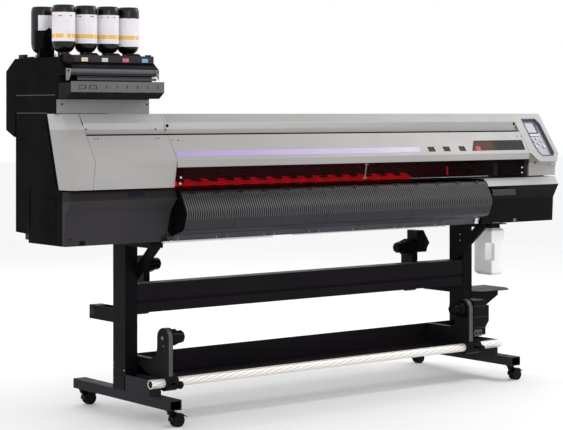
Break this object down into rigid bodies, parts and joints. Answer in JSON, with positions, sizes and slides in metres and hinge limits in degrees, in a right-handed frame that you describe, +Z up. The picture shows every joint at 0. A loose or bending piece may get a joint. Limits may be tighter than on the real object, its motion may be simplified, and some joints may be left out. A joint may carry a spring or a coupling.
{
  "type": "wide-format roll printer on a caster stand",
  "caption": "Wide roll-to-roll inkjet printer: long printing unit with hinged covers and red window, ink bottles, roll holders and caster stand.",
  "frame": {"origin": "bottom centre of the whole machine: the floor under its middle", "axes": "+X along the machine towards the control panel end, -Y towards the operator where printed media leaves, +Z up"},
  "size_m": [2.542, 0.701, 1.579],
  "materials": {
    "light_grey_cover": "satin light grey paint",
    "dark_grey_cover": "satin charcoal paint",
    "black_panel": "matt black powder coat",
    "black_steel": "semi-matt black powder coat",
    "aluminium": "brushed and wound with a spiral sheen",
    "steel_roller": "fine gritted",
    "red_window": "clear red acrylic",
    "ribbed_apron": "ribbed dark grey",
    "black_plastic": "moulded black plastic",
    "ink_bottle": "glossy black bottle with paper label",
    "waste_tank": "milky translucent polyethylene",
    "red_teeth": "moulded red plastic",
    "panel_plate": "grey film overlay",
    "key_cap": "moulded pale grey",
    "chassis": "mill finish",
    "rubber": "hard black tread"
  },
  "bodies": {
    "root": {"left_end_cap": "light_grey_cover", "right_end_cap": "light_grey_cover", "left_top_cover": "light_grey_cover", "center_top_cover": "light_grey_cover", "left_lower_cover": "dark_grey_cover", "right_lower_cover": "dark_grey_cover", "ink_tray": "dark_grey_cover", "left_side_panel": "black_panel", "right_side_panel": "black_panel", "rear_cover": "black_panel", "rear_guide": "black_panel", "ink_unit_casing": "black_panel", "left_leg": "black_steel", "right_leg": "black_steel", "left_foot": "black_steel", "right_foot": "black_steel", "cross_beam": "black_steel", "lower_tray": "black_steel", "front_rail": "aluminium", "rear_rail": "aluminium", "apron": "ribbed_apron", "control_panel": "panel_plate", "main_frame": "chassis", "takeup_drive_arm": "black_plastic", "takeup_motor_box": "black_plastic"},
    "left_front_cover": {"left_front_cover": "light_grey_cover"},
    "front_cover": {"front_cover": "light_grey_cover", "window": "red_window"},
    "front_left_swivel": {"front_left_caster_swivel": "black_plastic"},
    "front_left_wheel": {"front_left_caster_wheel": "rubber"},
    "front_right_swivel": {"front_right_caster_swivel": "black_plastic"},
    "front_right_wheel": {"front_right_caster_wheel": "rubber"},
    "rear_left_swivel": {"rear_left_caster_swivel": "black_plastic"},
    "rear_left_wheel": {"rear_left_caster_wheel": "rubber"},
    "rear_right_swivel": {"rear_right_caster_swivel": "black_plastic"},
    "rear_right_wheel": {"rear_right_caster_wheel": "rubber"},
    "takeup_idle_arm": {"takeup_idle_arm": "black_plastic"},
    "takeup_idle_core": {"takeup_idle_core": "black_plastic"},
    "takeup_drive_core": {"takeup_drive_core": "black_plastic"},
    "feed_left_arm": {"feed_left_arm": "black_plastic"},
    "feed_left_core": {"feed_left_core": "black_plastic"},
    "feed_right_arm": {"feed_right_arm": "black_plastic"},
    "feed_right_core": {"feed_right_core": "black_plastic"},
    "ink_bottle_1": {"ink_bottle_1": "ink_bottle"},
    "ink_bottle_2": {"ink_bottle_2": "ink_bottle"},
    "ink_bottle_3": {"ink_bottle_3": "ink_bottle"},
    "ink_bottle_4": {"ink_bottle_4": "ink_bottle"},
    "ink_bottle_5": {"ink_bottle_5": "ink_bottle"},
    "waste_tank": {"waste_tank": "waste_tank"},
    "clamp_lever": {"clamp_lever": "black_plastic"},
    "pinch_roller_bar": {"pinch_roller_bar": "red_teeth"},
    "grit_roller": {"grit_roller": "steel_roller"},
    "carriage": {"carriage": "black_plastic"},
    "key_up": {"key_up": "key_cap"},
    "key_left": {"key_left": "key_cap"},
    "key_right": {"key_right": "key_cap"},
    "key_down": {"key_down": "key_cap"},
    "key_end": {"key_end": "key_cap"},
    "key_enter": {"key_enter": "key_cap"},
    "function_keys": {"function_keys": "key_cap"}
  },
  "joints": [
    {"name": "left_front_cover_hinge", "type": "hinge", "parent": "root", "child": "left_front_cover", "pos_m": [-0.9955, -0.2425, 1.1015], "axis": [-1, 0, 0], "range_deg": [0, 80]},
    {"name": "front_cover_hinge", "type": "hinge", "parent": "root", "child": "front_cover", "pos_m": [0.136, -0.2425, 1.1015], "axis": [-1, 0, 0], "range_deg": [0, 80]},
    {"name": "front_left_swivel_turn", "type": "hinge", "parent": "root", "child": "front_left_swivel", "pos_m": [-0.845, -0.3045, 0.068], "axis": [0, 0, 1], "continuous": true},
    {"name": "front_left_wheel_spin", "type": "hinge", "parent": "front_left_swivel", "child": "front_left_wheel", "pos_m": [-0.815, -0.3045, 0.025], "axis": [0, 1, 0], "continuous": true},
    {"name": "front_right_swivel_turn", "type": "hinge", "parent": "root", "child": "front_right_swivel", "pos_m": [0.967, -0.3045, 0.068], "axis": [0, 0, 1], "continuous": true},
    {"name": "front_right_wheel_spin", "type": "hinge", "parent": "front_right_swivel", "child": "front_right_wheel", "pos_m": [0.997, -0.3045, 0.025], "axis": [0, 1, 0], "continuous": true},
    {"name": "rear_left_swivel_turn", "type": "hinge", "parent": "root", "child": "rear_left_swivel", "pos_m": [-0.845, 0.3235, 0.068], "axis": [0, 0, 1], "continuous": true},
    {"name": "rear_left_wheel_spin", "type": "hinge", "parent": "rear_left_swivel", "child": "rear_left_wheel", "pos_m": [-0.815, 0.3235, 0.025], "axis": [0, 1, 0], "continuous": true},
    {"name": "rear_right_swivel_turn", "type": "hinge", "parent": "root", "child": "rear_right_swivel", "pos_m": [0.967, 0.3235, 0.068], "axis": [0, 0, 1], "continuous": true},
    {"name": "rear_right_wheel_spin", "type": "hinge", "parent": "rear_right_swivel", "child": "rear_right_wheel", "pos_m": [0.997, 0.3235, 0.025], "axis": [0, 1, 0], "continuous": true},
    {"name": "takeup_idle_arm_slide", "type": "slide", "parent": "root", "child": "takeup_idle_arm", "axis": [1, 0, 0], "range_m": [0, 1]},
    {"name": "takeup_idle_core_spin", "type": "hinge", "parent": "takeup_idle_arm", "child": "takeup_idle_core", "pos_m": [-0.7915, -0.206, 0.322], "axis": [1, 0, 0], "continuous": true},
    {"name": "takeup_drive_core_spin", "type": "hinge", "parent": "root", "child": "takeup_drive_core", "pos_m": [0.772, -0.206, 0.322], "axis": [1, 0, 0], "continuous": true},
    {"name": "feed_left_arm_slide", "type": "slide", "parent": "root", "child": "feed_left_arm", "axis": [1, 0, 0], "range_m": [-0.12, 0.6]},
    {"name": "feed_left_core_spin", "type": "hinge", "parent": "feed_left_arm", "child": "feed_left_core", "pos_m": [-0.625, 0.2035, 0.564], "axis": [1, 0, 0], "continuous": true},
    {"name": "feed_right_arm_slide", "type": "slide", "parent": "root", "child": "feed_right_arm", "axis": [1, 0, 0], "range_m": [-0.3, 0.04]},
    {"name": "feed_right_core_spin", "type": "hinge", "parent": "feed_right_arm", "child": "feed_right_core", "pos_m": [0.814, 0.2035, 0.564], "axis": [1, 0, 0], "continuous": true},
    {"name": "ink_bottle_1_lift", "type": "slide", "parent": "root", "child": "ink_bottle_1", "axis": [0, 0, 1], "range_m": [0, 0.06]},
    {"name": "ink_bottle_2_lift", "type": "slide", "parent": "root", "child": "ink_bottle_2", "axis": [0, 0, 1], "range_m": [0, 0.06]},
    {"name": "ink_bottle_3_lift", "type": "slide", "parent": "root", "child": "ink_bottle_3", "axis": [0, 0, 1], "range_m": [0, 0.06]},
    {"name": "ink_bottle_4_lift", "type": "slide", "parent": "root", "child": "ink_bottle_4", "axis": [0, 0, 1], "range_m": [0, 0.06]},
    {"name": "ink_bottle_5_lift", "type": "slide", "parent": "root", "child": "ink_bottle_5", "axis": [0, 0, 1], "range_m": [0, 0.06]},
    {"name": "waste_tank_slide", "type": "slide", "parent": "root", "child": "waste_tank", "axis": [0, -1, 0], "range_m": [0, 0.12]},
    {"name": "clamp_lever_turn", "type": "hinge", "parent": "root", "child": "clamp_lever", "pos_m": [0.833, -0.2365, 0.79], "axis": [1, 0, 0], "range_deg": [0, 35]},
    {"name": "pinch_roller_bar_turn", "type": "hinge", "parent": "root", "child": "pinch_roller_bar", "pos_m": [0, 0.0085, 0.898], "axis": [1, 0, 0], "range_deg": [-6, 0]},
    {"name": "grit_roller_spin", "type": "hinge", "parent": "root", "child": "grit_roller", "pos_m": [0, -0.0915, 0.8715], "axis": [1, 0, 0], "continuous": true},
    {"name": "carriage_travel", "type": "slide", "parent": "root", "child": "carriage", "axis": [1, 0, 0], "range_m": [-2, 0]},
    {"name": "key_up_press", "type": "slide", "parent": "root", "child": "key_up", "axis": [0, 0.8269, -0.5623], "range_m": [0, 0.001], "stiffness_N_per_m": 400},
    {"name": "key_left_press", "type": "slide", "parent": "root", "child": "key_left", "axis": [0, 0.8269, -0.5623], "range_m": [0, 0.001], "stiffness_N_per_m": 400},
    {"name": "key_right_press", "type": "slide", "parent": "root", "child": "key_right", "axis": [0, 0.8269, -0.5623], "range_m": [0, 0.001], "stiffness_N_per_m": 400},
    {"name": "key_down_press", "type": "slide", "parent": "root", "child": "key_down", "axis": [0, 0.8269, -0.5623], "range_m": [0, 0.001], "stiffness_N_per_m": 400},
    {"name": "key_end_press", "type": "slide", "parent": "root", "child": "key_end", "axis": [0, 0.8269, -0.5623], "range_m": [0, 0.001], "stiffness_N_per_m": 400},
    {"name": "key_enter_press", "type": "slide", "parent": "root", "child": "key_enter", "axis": [0, 0.8269, -0.5623], "range_m": [0, 0.001], "stiffness_N_per_m": 400},
    {"name": "function_keys_press", "type": "slide", "parent": "root", "child": "function_keys", "axis": [0, 0.8269, -0.5623], "range_m": [0, 0.001], "stiffness_N_per_m": 400}
  ],
  "couplings": [
    {"joint": "pinch_roller_bar_turn", "follows": "clamp_lever_turn", "ratio": -0.17}
  ]
}
